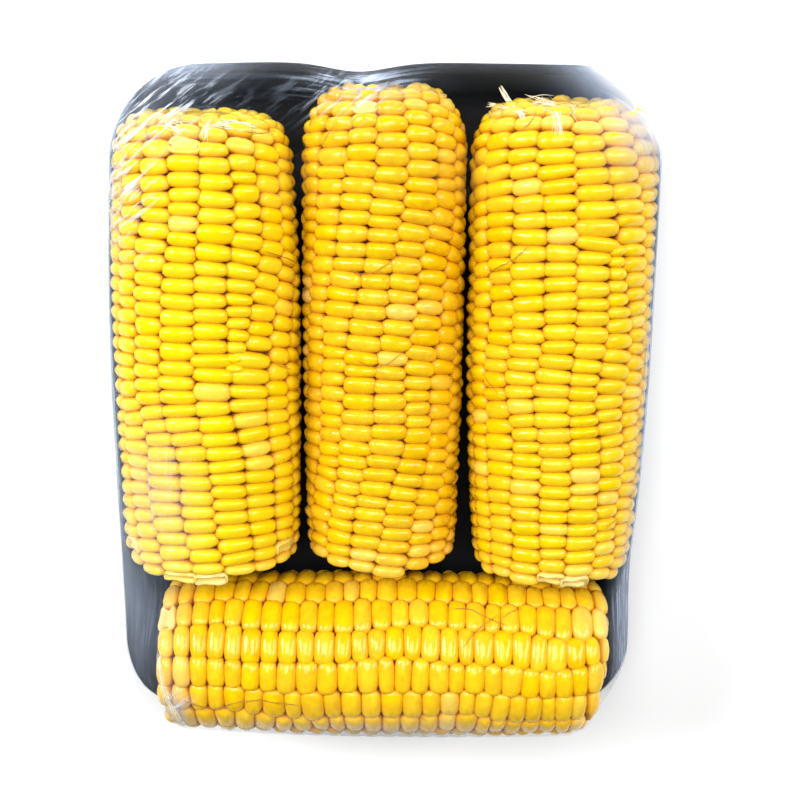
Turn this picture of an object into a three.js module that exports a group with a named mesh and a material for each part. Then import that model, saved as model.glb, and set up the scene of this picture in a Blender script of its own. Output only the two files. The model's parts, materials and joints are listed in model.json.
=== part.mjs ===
// A foam tray of four ears of sweet corn under stretched clear film.
// Three ears lie side by side along the tray and a fourth lies across its near end.
// Millimetres, +Z up. The origin is under the middle of the pack, on the surface that it rests on.
// +Y runs along the tray, from the ear that lies across to the far ends of the other three.
import * as THREE from "three";

// Clear film: thicker here than the real film, so that it is a sound solid
const FILM_THICKNESS = 0.5;
const CLEARANCE = 0.35; // between pieces that touch
const FILM_LIFT = 1.6; // room for the flat facets of the film over the round ears
const FILM_REACH = 5; // how far past an ear's end the film rounds down towards the rim
const FILM_TUCK = 36; // how far the film's edge turns in under the tray
const FILM_SEAT = 3; // where the film under the tray lies flat, in from the tray's round heel
const FILM_RINGS = 12; // rings between the film's middle and the tray's rim
const SAG_CELL = 3; // spacing of the grid on which the film is drawn tight
const SAG_ROUNDS = 400;

// Foam tray
const TRAY_WIDTH = 167;
const TRAY_LENGTH = 211;
const TRAY_DEPTH = 26;
const TRAY_CORNER = 27; // corner radius at the rim
const CORNER_SHRINK = 0.6; // how much the corner radius loses for each millimetre further in
const TRAY_WALL = 3;
const TRAY_FLOOR = 3.5;
const TRAY_DRAFT = THREE.MathUtils.degToRad(18); // how far the walls lean out
const RIM_ROUND = 1.2;
const HEEL_ROUND = 4; // round between wall and underside
const HEEL_IN = 0.15; // where the middle of that round lies, as shares of it
const HEEL_UP = 0.3;
const CORNER_STEPS = 6;
const SIDE_STEPS = 6;
// The tight film bends the far rim: a dip beside the middle ear, and the far corners drawn in
const DIP_DEPTH = 2.8;
const DIP_X = -7;
const DIP_HALF_WIDTH = 13;
const FAR_LEFT_PULL = 6;
const FAR_RIGHT_PULL = 1.4;
const PULL_DOWN_SHARE = 0.4; // of a corner's pull, along the tray
const SIDE_BEND_POWER = 1.5; // how the sides bend in towards the far end
const FAR_BEND_POWER = 6; // the far side's bend keeps close to it
// It draws the sides in before the lying ear, and the near left corner stands out past its round
const WAIST_LEFT = 0.9;
const WAIST_RIGHT = 1.5;
const WAIST_Y = -50;
const WAIST_REACH = 24;
const NEAR_LEFT_PUSH = 1.6; // along each of x and y
const PUSH_REACH = 13;

// Ears of corn. x, y and z are the middle of the ear and turn is its direction, 0 along +Y.
// An ear with no z lies on the tray's floor. nearScale and farScale are the radius at each end
// as a share of the radius in the middle. Over the length of its dome an end rounds off by its
// drop. twist is how far the rows turn along the whole ear, in radians. farSlant is how much
// shorter the far end is on the ear's own +X side, where it was cut at a slant.
const KERNEL_DEPTH = 1.9; // from the crown of a kernel down to the groove round it
const CROWN_SHARE = 0.5; // length of a kernel's crown as a share of its width
const RELIEF_SHARE = 0.62; // share of the rows that stand out; the rest face the tray's floor
const UNDERSIDE_COLUMNS = 3;
const KERNEL_UNEVENNESS = 0.16;
const STUB_RADIUS = 11; // bare cut core at the ends of an ear
const STUB_SHARE = 0.8; // most of a narrow end that the core may take up
const STUB_TAPER = 0.94;
const SLANT_POWER = 3; // a slanted cut shortens the rows most near the end
const EARS = [
  {
    name: "ear_left", x: -51.3, y: 23.6, turn: THREE.MathUtils.degToRad(-1.3),
    length: 139.3, radius: 27.6, rows: 18, kernels: 31, twist: -0.34, seed: 11,
    nearScale: 0.95, nearDome: 16, nearDrop: 0.14, nearStub: 6,
    farScale: 0.84, farDome: 16, farDrop: 0.14, farStub: 1.2, farSlant: 0,
  },
  {
    name: "ear_middle", x: 1.2, y: 26.95, turn: 0,
    length: 142.9, radius: 24.5, rows: 16, kernels: 32, twist: 0.5, seed: 23,
    nearScale: 0.97, nearDome: 14, nearDrop: 0.1, nearStub: 7,
    farScale: 0.97, farDome: 30, farDrop: 0.46, farStub: 0.6, farSlant: 0,
  },
  {
    name: "ear_right", x: 53.4, y: 23.9, turn: 0,
    length: 142.8, radius: 26.6, rows: 18, kernels: 32, twist: 0.16, seed: 37,
    nearScale: 0.91, nearDome: 14, nearDrop: 0.12, nearStub: 4.6,
    farScale: 0.96, farDome: 24, farDrop: 0.3, farStub: 1.2, farSlant: 0,
  },
  {
    name: "ear_across", x: 2, y: -78.1, z: 35.6, turn: -Math.PI / 2,
    length: 144, radius: 26.2, rows: 16, kernels: 27, twist: 0.12, seed: 41,
    nearScale: 0.89, nearDome: 15, nearDrop: 0.18, nearStub: 2,
    farScale: 0.93, farDome: 18, farDrop: 0.2, farStub: 1.2, farSlant: 8,
  },
];

const UNDERSIDE_Z = FILM_THICKNESS + CLEARANCE;
const RIM_Z = UNDERSIDE_Z + TRAY_DEPTH;
const FLOOR_Z = UNDERSIDE_Z + TRAY_FLOOR;

// Seeded random numbers from 0 to 1
function randomFrom(seed) {
  let state = seed;
  return () => {
    state = (state * 1664525 + 1013904223) % 4294967296;
    return state / 4294967296;
  };
}

// Joins rings of equal count from a pole onwards, closed at the end by a second pole if there is one
function skin(firstPole, rings, lastPole) {
  const count = rings[0].length;
  const points = [firstPole, ...rings.flat()];
  const at = (ring, step) => 1 + ring * count + (step % count);
  const faces = [];
  for (let step = 0; step < count; step++) {
    faces.push(0, at(0, step), at(0, step + 1));
    for (let ring = 0; ring < rings.length - 1; ring++) {
      const [a, b] = [at(ring, step), at(ring, step + 1)];
      const [c, d] = [at(ring + 1, step), at(ring + 1, step + 1)];
      faces.push(a, c, b, b, c, d);
    }
    if (lastPole) faces.push(at(rings.length - 1, step), points.length, at(rings.length - 1, step + 1));
  }
  if (lastPole) points.push(lastPole);
  return new THREE.BufferGeometry().setFromPoints(points).setIndex(faces);
}

// Middle of the near left corner's round, in from the tray's middle
const NEAR_ARC_X = TRAY_WIDTH / 2 - TRAY_CORNER * (1 - Math.SQRT1_2);
const NEAR_ARC_Y = TRAY_LENGTH / 2 - TRAY_CORNER * (1 - Math.SQRT1_2);

// Moves a point of the tray's outline as the tight film bends the rim there
function bend(point, share) {
  const across = point.x / (TRAY_WIDTH / 2);
  const along = Math.max(0, point.y / (TRAY_LENGTH / 2));
  const dip = DIP_DEPTH * Math.exp(-(((point.x - DIP_X) / DIP_HALF_WIDTH) ** 2));
  const pull = across < 0 ? FAR_LEFT_PULL : FAR_RIGHT_PULL;
  const drawnIn = across < 0 ? WAIST_LEFT : WAIST_RIGHT;
  const waist = drawnIn * Math.exp(-(((point.y - WAIST_Y) / WAIST_REACH) ** 2));
  const pushX = (point.x + NEAR_ARC_X) / PUSH_REACH;
  const pushY = (point.y + NEAR_ARC_Y) / PUSH_REACH;
  const push = NEAR_LEFT_PUSH * Math.exp(-(pushX ** 2) - pushY ** 2);
  point.x -= share * (pull * across * along ** SIDE_BEND_POWER + waist * across + push);
  point.y -= share * ((dip + PULL_DOWN_SHARE * pull * across ** 2) * along ** FAR_BEND_POWER + push);
}

// The tray's outline at one height: a rectangle with round corners, bent by a share of the rim's bend
function trayOutline(inset, z, share = 1) {
  const halfX = TRAY_WIDTH / 2 - inset;
  const halfY = TRAY_LENGTH / 2 - inset;
  const radius = TRAY_CORNER - inset * CORNER_SHRINK;
  const corners = [[1, -1], [1, 1], [-1, 1], [-1, -1]];
  const arcs = corners.map(([sx, sy], corner) => {
    const centre = new THREE.Vector3(sx * (halfX - radius), sy * (halfY - radius), z);
    return Array.from({ length: CORNER_STEPS + 1 }, (_, step) => {
      const angle = ((corner - 1 + step / CORNER_STEPS) * Math.PI) / 2;
      return new THREE.Vector3(Math.cos(angle), Math.sin(angle), 0).multiplyScalar(radius).add(centre);
    });
  });
  const outline = arcs.flatMap((arc, corner) => {
    const next = arcs[(corner + 1) % 4][0];
    const side = Array.from({ length: SIDE_STEPS - 1 }, (_, step) =>
      arc[CORNER_STEPS].clone().lerp(next, (step + 1) / SIDE_STEPS));
    return [...arc, ...side];
  });
  outline.forEach((point) => bend(point, share));
  return outline;
}

// How far the wall's outer face stands in from the rim at a height
const wallInset = (z) => (RIM_Z - z) * Math.tan(TRAY_DRAFT);

// The tray's outer face, from the rim down to the underside
function trayOuterRings() {
  const heelTop = UNDERSIDE_Z + HEEL_ROUND;
  const heelInset = wallInset(UNDERSIDE_Z);
  return [
    trayOutline(wallInset(RIM_Z - RIM_ROUND), RIM_Z - RIM_ROUND),
    trayOutline(wallInset(heelTop), heelTop, 0),
    trayOutline(heelInset + HEEL_ROUND * HEEL_IN, UNDERSIDE_Z + HEEL_ROUND * HEEL_UP, 0),
    trayOutline(heelInset + HEEL_ROUND, UNDERSIDE_Z, 0),
  ];
}

function trayGeometry() {
  const innerHeel = FLOOR_Z + HEEL_ROUND;
  const rings = [
    trayOutline(TRAY_WALL + wallInset(FLOOR_Z) + HEEL_ROUND, FLOOR_Z, 0),
    trayOutline(TRAY_WALL + wallInset(innerHeel), innerHeel, 0),
    trayOutline(TRAY_WALL + wallInset(RIM_Z - RIM_ROUND), RIM_Z - RIM_ROUND),
    trayOutline(TRAY_WALL - RIM_ROUND * 0.5, RIM_Z),
    trayOutline(RIM_ROUND * 0.5, RIM_Z),
    ...trayOuterRings(),
  ];
  return skin(new THREE.Vector3(0, 0, FLOOR_Z), rings, new THREE.Vector3(0, 0, UNDERSIDE_Z));
}

// Radius of an ear over the crowns of its kernels, at a place along its axis from its middle
function earRadius(ear, along) {
  const share = along / (ear.length / 2);
  const scale = share < 0 ? ear.nearScale : ear.farScale;
  const nearRound = Math.max(0, 1 - (ear.length / 2 + along) / ear.nearDome);
  const farRound = Math.max(0, 1 - (ear.length / 2 - along) / ear.farDome);
  const rounding = 1 - ear.nearDrop * nearRound ** 2 - ear.farDrop * farRound ** 2;
  return ear.radius * (1 - (1 - scale) * share ** 2) * rounding;
}

// How far the slanted cut moves a point of an ear back from its far end
function slantBack(ear, aside, along) {
  const share = Math.max(0, along / (ear.length / 2));
  return ear.farSlant * share ** SLANT_POWER * (0.5 + (0.5 * aside) / ear.radius);
}

const reliefRows = (ear) => Math.round(ear.rows * RELIEF_SHARE);
const rowAngle = (ear) => (2 * Math.PI) / ear.rows;
const firstAngle = (ear) => -(reliefRows(ear) * rowAngle(ear)) / 2;

// Adds a point of an ear, below its crowns by a depth and turned with its rows, and returns its index
function addPoint(mesh, ear, angle, along, depth) {
  const turned = angle + (ear.twist * along) / ear.length;
  const radius = earRadius(ear, along) - depth;
  mesh.points.push(new THREE.Vector3(radius * Math.sin(turned), along, radius * Math.cos(turned)));
  return mesh.points.length - 1;
}

const addQuad = (mesh, a, b, c, d) => mesh.faces.push(a, b, c, a, c, d);

// Columns of points in the grooves between the rows, then the plain columns of the underside
function addColumns(mesh, ear) {
  const random = randomFrom(ear.seed);
  const pitch = ear.length / ear.kernels;
  const uneven = () => (random() - 0.5) * 2 * KERNEL_UNEVENNESS * pitch;
  const grooves = Array.from({ length: ear.kernels + 1 }, (_, k) => k * pitch - ear.length / 2);
  const atEnd = (k) => k === 0 || k === ear.kernels;
  const columns = [];
  for (let row = 0; row <= reliefRows(ear); row++) {
    const angle = firstAngle(ear) + row * rowAngle(ear);
    const slip = uneven();
    const shift = (k) => (atEnd(k) ? 0 : slip + uneven() / 2);
    columns.push(grooves.map((along, k) => addPoint(mesh, ear, angle, along + shift(k), KERNEL_DEPTH)));
  }
  const undersideAngle = (2 * Math.PI + 2 * firstAngle(ear)) / UNDERSIDE_COLUMNS;
  for (let column = 1; column < UNDERSIDE_COLUMNS; column++) {
    const angle = -firstAngle(ear) + column * undersideAngle;
    columns.push(grooves.map((along) => addPoint(mesh, ear, angle, along, KERNEL_DEPTH)));
  }
  return columns;
}

// Each kernel is a hipped roof: four low corners in the grooves and a crown across the row
function addKernels(mesh, ear, columns) {
  const reach = (rowAngle(ear) * CROWN_SHARE) / 2;
  for (let row = 0; row < reliefRows(ear); row++) {
    const middle = firstAngle(ear) + (row + 0.5) * rowAngle(ear);
    const halfway = (a, b) => (mesh.points[a].y + mesh.points[b].y) / 2;
    for (let k = 0; k < ear.kernels; k++) {
      const [a, b] = [columns[row][k], columns[row + 1][k]];
      const [d, c] = [columns[row][k + 1], columns[row + 1][k + 1]];
      const left = addPoint(mesh, ear, middle - reach, halfway(a, d), 0);
      const right = addPoint(mesh, ear, middle + reach, halfway(b, c), 0);
      addQuad(mesh, a, b, right, left);
      addQuad(mesh, c, d, left, right);
      mesh.faces.push(d, a, left, b, c, right);
    }
  }
}

// The side that faces the tray's floor is plain
function addUnderside(mesh, ear, columns) {
  for (let column = reliefRows(ear); column < columns.length; column++) {
    const [from, to] = [columns[column], columns[(column + 1) % columns.length]];
    for (let k = 0; k < ear.kernels; k++) addQuad(mesh, from[k], to[k], to[k + 1], from[k + 1]);
  }
}

// An end: the cut face in to the core, then the stub of the core
function addEnd(mesh, ear, columns, k, outward, stub) {
  const rim = columns.map((column) => column[k]);
  const along = (outward * ear.length) / 2;
  const core = Math.min(STUB_RADIUS, STUB_SHARE * (earRadius(ear, along) - KERNEL_DEPTH));
  const ringAt = (radius, y) => rim.map((corner) => {
    const angle = Math.atan2(mesh.points[corner].x, mesh.points[corner].z);
    mesh.points.push(new THREE.Vector3(radius * Math.sin(angle), y, radius * Math.cos(angle)));
    return mesh.points.length - 1;
  });
  const rings = [rim, ringAt(core, along), ringAt(core * STUB_TAPER, along + outward * stub)];
  mesh.points.push(new THREE.Vector3(0, along + outward * stub, 0));
  const tip = mesh.points.length - 1;
  const facing = (a, b, c) => (outward > 0 ? mesh.faces.push(a, b, c) : mesh.faces.push(a, c, b));
  for (let step = 0; step < rim.length; step++) {
    const next = (step + 1) % rim.length;
    for (const [outer, inner] of [[rings[0], rings[1]], [rings[1], rings[2]]]) {
      facing(outer[step], outer[next], inner[next]);
      facing(outer[step], inner[next], inner[step]);
    }
    facing(rings[2][step], rings[2][next], tip);
  }
}

// An ear along its own +Y about its middle, with its top side up
function earGeometry(ear) {
  const mesh = { points: [], faces: [] };
  const columns = addColumns(mesh, ear);
  addKernels(mesh, ear, columns);
  addUnderside(mesh, ear, columns);
  addEnd(mesh, ear, columns, 0, -1, ear.nearStub);
  addEnd(mesh, ear, columns, ear.kernels, 1, ear.farStub);
  mesh.points.forEach((point) => {
    point.y -= slantBack(ear, point.x, point.y);
  });
  return new THREE.BufferGeometry().setFromPoints(mesh.points).setIndex(mesh.faces);
}

// Height of an ear's axis
const axisHeight = (ear) => ear.z ?? FLOOR_Z + CLEARANCE + ear.radius;

// Top of the ears above a point, with room for the film, or the rim where there is none
function supportHeight(x, y) {
  const tops = EARS.map((ear) => {
    const [cos, sin] = [Math.cos(ear.turn), Math.sin(ear.turn)];
    const aside = (x - ear.x) * cos + (y - ear.y) * sin;
    const straight = (y - ear.y) * cos - (x - ear.x) * sin;
    const along = straight + slantBack(ear, aside, straight);
    const onEar = THREE.MathUtils.clamp(along, -ear.length / 2, ear.length / 2);
    const past = Math.min(1, Math.abs(along - onEar) / FILM_REACH);
    const radius = (earRadius(ear, onEar) + FILM_LIFT) * Math.sqrt(1 - past ** 2);
    return Math.abs(aside) < radius ? axisHeight(ear) + Math.sqrt(radius ** 2 - aside ** 2) : RIM_Z;
  });
  return Math.max(RIM_Z, ...tops);
}

// True inside the tray's rim
function insideRim(x, y) {
  const cornerX = Math.max(0, Math.abs(x) - (TRAY_WIDTH / 2 - TRAY_CORNER));
  const cornerY = Math.max(0, Math.abs(y) - (TRAY_LENGTH / 2 - TRAY_CORNER));
  return Math.hypot(cornerX, cornerY) < TRAY_CORNER;
}

// The film drawn tight over the ears: each point settles to the mean of its neighbours
// unless an ear holds it up. Returns the height at any point inside the rim.
function tightFilm() {
  const across = Math.ceil(TRAY_WIDTH / SAG_CELL) + 1;
  const along = Math.ceil(TRAY_LENGTH / SAG_CELL) + 1;
  const xAt = (i) => -TRAY_WIDTH / 2 + (i * TRAY_WIDTH) / (across - 1);
  const yAt = (j) => -TRAY_LENGTH / 2 + (j * TRAY_LENGTH) / (along - 1);
  const supportAt = (x, y) => (insideRim(x, y) ? supportHeight(x, y) : RIM_Z);
  const support = Array.from({ length: across }, (_, i) =>
    Array.from({ length: along }, (_, j) => supportAt(xAt(i), yAt(j))));
  const height = support.map((column) => [...column]);
  for (let round = 0; round < SAG_ROUNDS; round++)
    for (let i = 1; i < across - 1; i++)
      for (let j = 1; j < along - 1; j++) {
        if (!insideRim(xAt(i), yAt(j))) continue;
        const mean = (height[i - 1][j] + height[i + 1][j] + height[i][j - 1] + height[i][j + 1]) / 4;
        height[i][j] = Math.max(support[i][j], mean);
      }
  return (x, y) => {
    const u = (x / TRAY_WIDTH + 0.5) * (across - 1);
    const v = (y / TRAY_LENGTH + 0.5) * (along - 1);
    const [i, j] = [Math.floor(u), Math.floor(v)];
    const near = THREE.MathUtils.lerp(height[i][j], height[i + 1][j], u - i);
    const far = THREE.MathUtils.lerp(height[i][j + 1], height[i + 1][j + 1], u - i);
    return Math.max(THREE.MathUtils.lerp(near, far, v - j), supportHeight(x, y));
  };
}

// The film lies over the ears, wraps the rim and the walls, and its edge turns in under the tray
function filmGeometry() {
  const heightAt = tightFilm();
  const rim = trayOutline(RIM_ROUND * 0.3, RIM_Z);
  const topRings = Array.from({ length: FILM_RINGS }, (_, ring) => {
    const share = Math.sin(((ring + 1) / (FILM_RINGS + 1)) * (Math.PI / 2));
    return rim.map(({ x, y }) => new THREE.Vector3(x * share, y * share, heightAt(x * share, y * share)));
  });
  const heelInset = wallInset(UNDERSIDE_Z) + HEEL_ROUND;
  const seat = trayOutline(heelInset + FILM_SEAT, UNDERSIDE_Z, 0);
  const edge = trayOutline(heelInset + FILM_TUCK, UNDERSIDE_Z, 0);
  const rings = [...topRings, rim, ...trayOuterRings(), seat, edge];
  const top = new THREE.Vector3(0, 0, heightAt(0, 0));
  return thicken(skin(top, rings), rim.length);
}

// Gives an open sheet its thickness: an outer and an inner face, split alike, joined along
// the sheet's edge, which is its last ring
function thicken(sheet, edgeCount) {
  sheet.computeVertexNormals();
  const { position, normal } = sheet.attributes;
  const raised = (distance) => Array.from({ length: position.count }, (_, index) =>
    new THREE.Vector3().fromBufferAttribute(normal, index).multiplyScalar(distance)
      .add(new THREE.Vector3().fromBufferAttribute(position, index)));
  const points = [...raised(CLEARANCE + FILM_THICKNESS), ...raised(CLEARANCE)];
  const faces = [...sheet.index.array];
  for (let face = 0; face < sheet.index.count; face += 3) {
    const [a, b, c] = sheet.index.array.slice(face, face + 3);
    faces.push(position.count + a, position.count + c, position.count + b);
  }
  const edge = position.count - edgeCount;
  for (let step = 0; step < edgeCount; step++) {
    const [a, b] = [edge + step, edge + ((step + 1) % edgeCount)];
    faces.push(a, position.count + a, b, b, position.count + a, position.count + b);
  }
  return new THREE.BufferGeometry().setFromPoints(points).setIndex(faces);
}

const cornYellow = new THREE.MeshStandardMaterial({ color: 0xf6c416, roughness: 0.35, metalness: 0 });
const blackFoam = new THREE.MeshStandardMaterial({ color: 0x17191d, roughness: 0.6, metalness: 0 });
const clearFilm = new THREE.MeshStandardMaterial({
  color: 0xf2f6fa, roughness: 0.08, metalness: 0, transparent: true, opacity: 0.18,
});

const pack = new THREE.Group();
function add(name, geometry, material) {
  const mesh = new THREE.Mesh(geometry, material);
  mesh.name = name;
  pack.add(mesh);
  return mesh;
}

add("tray", trayGeometry(), blackFoam);
for (const ear of EARS) {
  const mesh = add(ear.name, earGeometry(ear), cornYellow);
  mesh.position.set(ear.x, ear.y, axisHeight(ear));
  mesh.rotation.z = ear.turn;
}
add("film", filmGeometry(), clearFilm);

export default pack;
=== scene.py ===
import json
import math

import bmesh
import bpy
import numpy as np
from mathutils import Matrix, Vector, kdtree

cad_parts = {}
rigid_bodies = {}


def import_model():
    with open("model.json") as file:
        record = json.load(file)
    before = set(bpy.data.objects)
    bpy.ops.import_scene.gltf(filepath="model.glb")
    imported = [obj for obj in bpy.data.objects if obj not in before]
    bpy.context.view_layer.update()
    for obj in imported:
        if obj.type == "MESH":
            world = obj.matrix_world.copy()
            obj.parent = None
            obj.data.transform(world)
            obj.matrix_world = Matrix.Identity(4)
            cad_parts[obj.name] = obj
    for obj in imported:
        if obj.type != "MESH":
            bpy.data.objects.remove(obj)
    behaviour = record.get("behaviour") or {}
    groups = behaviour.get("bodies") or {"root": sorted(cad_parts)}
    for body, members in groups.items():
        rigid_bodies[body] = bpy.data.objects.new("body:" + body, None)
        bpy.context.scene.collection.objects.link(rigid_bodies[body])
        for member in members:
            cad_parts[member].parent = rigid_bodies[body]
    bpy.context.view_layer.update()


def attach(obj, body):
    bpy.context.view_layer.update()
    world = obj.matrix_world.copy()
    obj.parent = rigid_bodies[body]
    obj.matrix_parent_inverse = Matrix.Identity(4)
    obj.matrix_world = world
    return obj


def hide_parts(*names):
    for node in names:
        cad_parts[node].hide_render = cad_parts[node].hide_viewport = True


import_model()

# Foam tray
# A shallow tray of black expanded polystyrene, pressed hot from foam sheet with leaning walls and
# round corners. The tight film draws in its far corners and its right side, and dips its far rim.
MM = 0.001
TRAY_WIDTH = 167.0
TRAY_LENGTH = 211.0
TRAY_CORNER = 27.0
CORNER_SHRINK = 0.6  # what the corner radius loses for each millimetre further in
TRAY_WALL = 3.0
TRAY_DRAFT = math.radians(18)
RIM_ROUND = 1.2
HEEL_ROUND = 4.0
UNDERSIDE_Z = 0.85
FLOOR_Z = UNDERSIDE_Z + 3.5
RIM_Z = UNDERSIDE_Z + 26.0
RIM_LOW = RIM_Z - RIM_ROUND
HEEL_TOP = UNDERSIDE_Z + HEEL_ROUND
MIXED_COLOUR = 2  # the output of a mix node that is a colour
FOAM_CELL = 0.9
FOAM_DIMPLE = 6.0
DIP_DEPTH = 2.8  # of the far rim beside the middle ear
DIP_X = -7.0
DIP_REACH = 13.0
PULL_LEFT = 6.0  # how far the film draws in the far corners
PULL_RIGHT = 1.4
WAIST_LEFT = 0.1  # how far it draws in the sides
WAIST_RIGHT = 1.5
WAIST_Y = -50.0
WAIST_REACH = 24.0
PUSH = 1.6  # how far the near left corner stands out past its round
PUSH_X = -75.6
PUSH_Y = -97.6
PUSH_REACH = 13.0
STEPS_ACROSS = 56
STEPS_ALONG = 72
ROUND_STEPS = 6


def linear(hex_colour):
    """The linear colour of an sRGB hex value."""
    parts = [int(hex_colour[at:at + 2], 16) / 255 for at in (1, 3, 5)]
    return tuple(p / 12.92 if p <= 0.04045 else ((p + 0.055) / 1.055) ** 2.4 for p in parts) + (1.0,)


def add_node(tree, kind, inputs=None, **settings):
    """A new node with its settings, and each input set to a value or linked to an output."""
    node = tree.nodes.new(kind)
    for key, value in settings.items():
        setattr(node, key, value)
    for key, value in (inputs or {}).items():
        sockets = [s for s in node.inputs if s.name == key and s.enabled]
        socket = sockets[0] if sockets else node.inputs[key]
        if isinstance(value, bpy.types.NodeSocket):
            tree.links.new(value, socket)
        else:
            socket.default_value = value
    return node


def new_material(name):
    """An empty material, its node tree and the piece's own coordinates in metres."""
    material = bpy.data.materials.new(name)
    material.use_nodes = True
    material.node_tree.nodes.clear()
    place = add_node(material.node_tree, "ShaderNodeTexCoord").outputs["Object"]
    return material, material.node_tree, place


def new_piece(name, points, faces, material, values=None, edges=()):
    """A smooth mesh from points in millimetres, its faces outward, with named values on its points."""
    mesh = bpy.data.meshes.new(name)
    mesh.from_pydata((np.asarray(points) * MM).tolist(), edges, faces)
    work = bmesh.new()
    work.from_mesh(mesh)
    bmesh.ops.recalc_face_normals(work, faces=work.faces)
    work.to_mesh(mesh)
    work.free()
    for key, numbers in (values or {}).items():
        column = mesh.attributes.new(key, "FLOAT", "POINT").data
        column.foreach_set("value", np.asarray(numbers, dtype=float))
    mesh.shade_smooth()
    mesh.materials.append(material)
    piece = bpy.data.objects.new(name, mesh)
    bpy.context.scene.collection.objects.link(piece)
    return piece


def ring_faces(rings, count, start=0):
    """Quads between rings of points that follow each other from a first index."""
    faces = []
    for ring in range(rings - 1):
        low = start + ring * count
        for step in range(count):
            after = (step + 1) % count
            faces.append((low + step, low + after, low + count + after, low + count + step))
    return faces


def side_points(half_run, half_out, radius, count):
    """A side from one corner's middle to the next: distances along it and out from the tray's middle."""
    straight = half_run - radius
    way = np.linspace(-1, 1, count + 1)[:-1] * (straight + radius * math.pi / 4)
    past = np.clip((np.abs(way) - straight) / radius, 0, None)
    run = np.sign(way) * (np.minimum(np.abs(way), straight) + radius * np.sin(past))
    return run, half_out - radius + radius * np.cos(past)


def bend_rim(x, y, share):
    """The tray's outline as the tight film bends it: the far corners and the sides before the lying ear
    drawn in, a dip in the far rim, and the near left corner standing out past its round."""
    across = x / (TRAY_WIDTH / 2)
    along = np.maximum(0, y / (TRAY_LENGTH / 2))
    dip = DIP_DEPTH * np.exp(-(((x - DIP_X) / DIP_REACH) ** 2))
    pull = np.where(across < 0, PULL_LEFT, PULL_RIGHT)
    waist = np.where(across < 0, WAIST_LEFT, WAIST_RIGHT) * np.exp(-(((y - WAIST_Y) / WAIST_REACH) ** 2))
    push = PUSH * np.exp(-(((x - PUSH_X) / PUSH_REACH) ** 2) - ((y - PUSH_Y) / PUSH_REACH) ** 2)
    drawn_x = pull * across * along**1.5 + waist * across + push
    drawn_y = (dip + 0.4 * pull * across**2) * along**6 + push
    return x - share * drawn_x, y - share * drawn_y


def tray_outline(inset, z, across, along):
    """The tray's outline at a height, from the near left corner's middle round to the right."""
    half_x, half_y = TRAY_WIDTH / 2 - inset, TRAY_LENGTH / 2 - inset
    radius = TRAY_CORNER - CORNER_SHRINK * inset
    run_x, out_y = side_points(half_x, half_y, radius, across)
    run_y, out_x = side_points(half_y, half_x, radius, along)
    x = np.concatenate([run_x, out_x, -run_x, -out_x])
    y = np.concatenate([-out_y, run_y, out_y, -run_y])
    share = min(1.0, max(0.0, (z - HEEL_TOP) / (RIM_LOW - HEEL_TOP)))
    x, y = bend_rim(x, y, share)
    return np.column_stack([x, y, np.full_like(x, z)])


def wall_inset(z):
    """How far the wall's outer face stands in from the rim at a height."""
    return (RIM_Z - z) * math.tan(TRAY_DRAFT)


def bow(a, b, c, steps):
    """Points on the round from a to c that would meet in the corner b."""
    a, b, c = np.array(a), np.array(b), np.array(c)
    shares = np.linspace(0, 1, steps)[:, None]
    return (1 - shares) ** 2 * a + 2 * shares * (1 - shares) * b + shares**2 * c


def wall_profile():
    """Inset and height of the outer face, from under the rim down to the underside."""
    heights = np.linspace(RIM_LOW, HEEL_TOP, ROUND_STEPS)
    wall = np.column_stack([wall_inset(heights), heights])
    foot = wall_inset(UNDERSIDE_Z)
    corner = (foot + 0.4, UNDERSIDE_Z)
    heel = bow((wall_inset(HEEL_TOP), HEEL_TOP), corner, (foot + HEEL_ROUND, UNDERSIDE_Z), ROUND_STEPS)
    return np.concatenate([wall, heel[1:]])


def tray_profile():
    """Inset and height from the tray's floor up the inner face, over the rim and down the outer face."""
    corner = TRAY_WALL + wall_inset(FLOOR_Z)
    inner_heel = FLOOR_Z + HEEL_ROUND
    wall_foot = (TRAY_WALL + wall_inset(inner_heel), inner_heel)
    floor = bow((corner + HEEL_ROUND, FLOOR_Z), (corner, FLOOR_Z), wall_foot, ROUND_STEPS)
    heights = np.linspace(inner_heel, RIM_LOW, ROUND_STEPS)[1:]
    inner = np.column_stack([TRAY_WALL + wall_inset(heights), heights])
    turns = np.linspace(0, math.pi, 9)[1:-1]
    rim = np.column_stack([
        wall_inset(RIM_LOW) + TRAY_WALL * (0.5 + 0.5 * np.cos(turns)), RIM_LOW + RIM_ROUND * np.sin(turns)])
    return np.concatenate([floor, inner, rim, wall_profile()])


foam, nodes, place = new_material("black_polystyrene_foam")
# Closed cells pressed flat under a thin skin: fine grain over shallow dimples, a little uneven in tone
cells = add_node(nodes, "ShaderNodeTexVoronoi", {"Vector": place, "Scale": 1 / (FOAM_CELL * MM)})
dimples = add_node(nodes, "ShaderNodeTexNoise", {
    "Vector": place, "Scale": 1 / (FOAM_DIMPLE * MM), "Detail": 3.0})
tone = add_node(nodes, "ShaderNodeMix", {
    "Factor": dimples.outputs["Fac"], "A": linear("#0f1013"), "B": linear("#1d1f24")}, data_type="RGBA")
grain = add_node(nodes, "ShaderNodeBump", {
    "Strength": 0.35, "Distance": 0.12 * MM, "Height": cells.outputs["Distance"]})
relief = add_node(nodes, "ShaderNodeBump", {
    "Strength": 0.4, "Distance": 0.3 * MM,
    "Height": dimples.outputs["Fac"], "Normal": grain.outputs["Normal"]})
shader = add_node(nodes, "ShaderNodeBsdfPrincipled", {
    "Base Color": tone.outputs[MIXED_COLOUR], "Normal": relief.outputs["Normal"],
    "Roughness": 0.6, "Specular IOR Level": 0.2})
add_node(nodes, "ShaderNodeOutputMaterial", {"Surface": shader.outputs["BSDF"]})

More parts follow.
